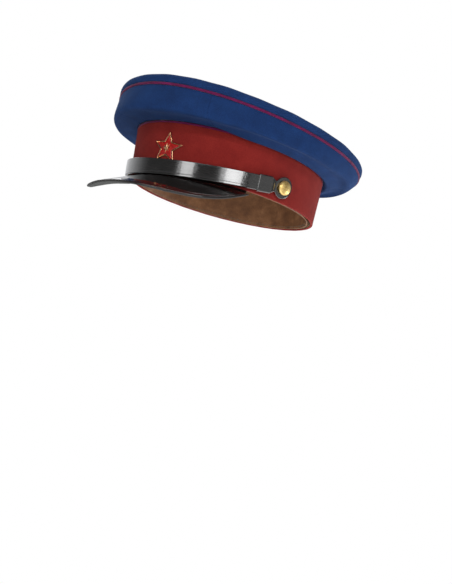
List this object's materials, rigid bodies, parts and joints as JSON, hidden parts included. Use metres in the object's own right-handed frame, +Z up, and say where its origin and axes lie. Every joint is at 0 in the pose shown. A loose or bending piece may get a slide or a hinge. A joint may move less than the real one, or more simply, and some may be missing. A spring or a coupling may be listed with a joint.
{
  "type": "military peaked cap",
  "caption": "Peaked cap with a puffed blue cloth crown, red band, contrast piping, glossy black peak, chin strap on brass buttons and a plain enamelled star badge.",
  "frame": {"origin": "centre of the head opening, in the plane of the band's lower edge", "axes": "+Z up through the crown, -Y forward over the peak, +X towards the wearer's left"},
  "size_m": [0.2472, 0.2835, 0.1143],
  "materials": {
    "crown_cloth": "dull woollen broadcloth, dark blue",
    "band_cloth": "dull woollen broadcloth, brick red",
    "piping_cloth": "cord covered in fine raspberry cloth",
    "patent_black": "glossy lacquered black peak",
    "strap_black": "black patent leather with crisp highlights",
    "peak_lining": "black oilcloth",
    "lining_satin": "grey cotton satin",
    "sweat_leather": "brown sweatband leather",
    "fibreboard": "pressed fibre strip",
    "wadding": "off-white padding",
    "clear_film": "clear cellophane",
    "spring_steel": "grey spring steel",
    "brass": "polished stamped brass",
    "enamel_red": "red enamel"
  },
  "bodies": {
    "cap": {"band_cover": "band_cloth", "band_stiffener": "fibreboard", "sweatband": "sweat_leather", "band_piping": "piping_cloth", "crown_top": "crown_cloth", "crown_piping": "piping_cloth", "crown_hoop": "spring_steel", "crown_wadding": "wadding", "crown_front_panel": "crown_cloth", "crown_left_panel": "crown_cloth", "crown_rear_panel": "crown_cloth", "crown_right_panel": "crown_cloth", "lining_side": "lining_satin", "lining_top": "lining_satin", "sweat_shield": "clear_film", "front_stay": "spring_steel", "peak": "patent_black", "peak_lining": "peak_lining", "peak_edge_bead": "patent_black", "badge_base": "brass", "badge_enamel": "enamel_red", "badge_boss": "brass", "badge_screw_post": "brass", "badge_nut": "brass", "button_left_cap": "brass", "button_left_back": "brass", "button_left_shank": "brass", "button_left_washer": "spring_steel", "button_left_split_pin": "spring_steel", "button_right_cap": "brass", "button_right_back": "brass", "button_right_shank": "brass", "button_right_washer": "spring_steel", "button_right_split_pin": "spring_steel"},
    "chin_strap": {"chin_strap_left": "strap_black", "chin_strap_right": "strap_black"},
    "keeper_left": {"keeper_left": "strap_black"},
    "keeper_right": {"keeper_right": "strap_black"}
  },
  "joints": [
    {"name": "chin_strap_swing", "type": "hinge", "parent": "cap", "child": "chin_strap", "pos_m": [0, -0.02624, 0.01334], "axis": [-1, 0, 0], "range_deg": [0, 3]},
    {"name": "keeper_left_slide", "type": "hinge", "parent": "chin_strap", "child": "keeper_left", "pos_m": [-0.01442, -0.00578, 0.01815], "axis": [-0.0191, 0.132, -0.9911], "range_deg": [0, 19]},
    {"name": "keeper_right_slide", "type": "hinge", "parent": "chin_strap", "child": "keeper_right", "pos_m": [0.01442, -0.00578, 0.01815], "axis": [-0.0191, -0.132, 0.9911], "range_deg": [0, 19]}
  ]
}
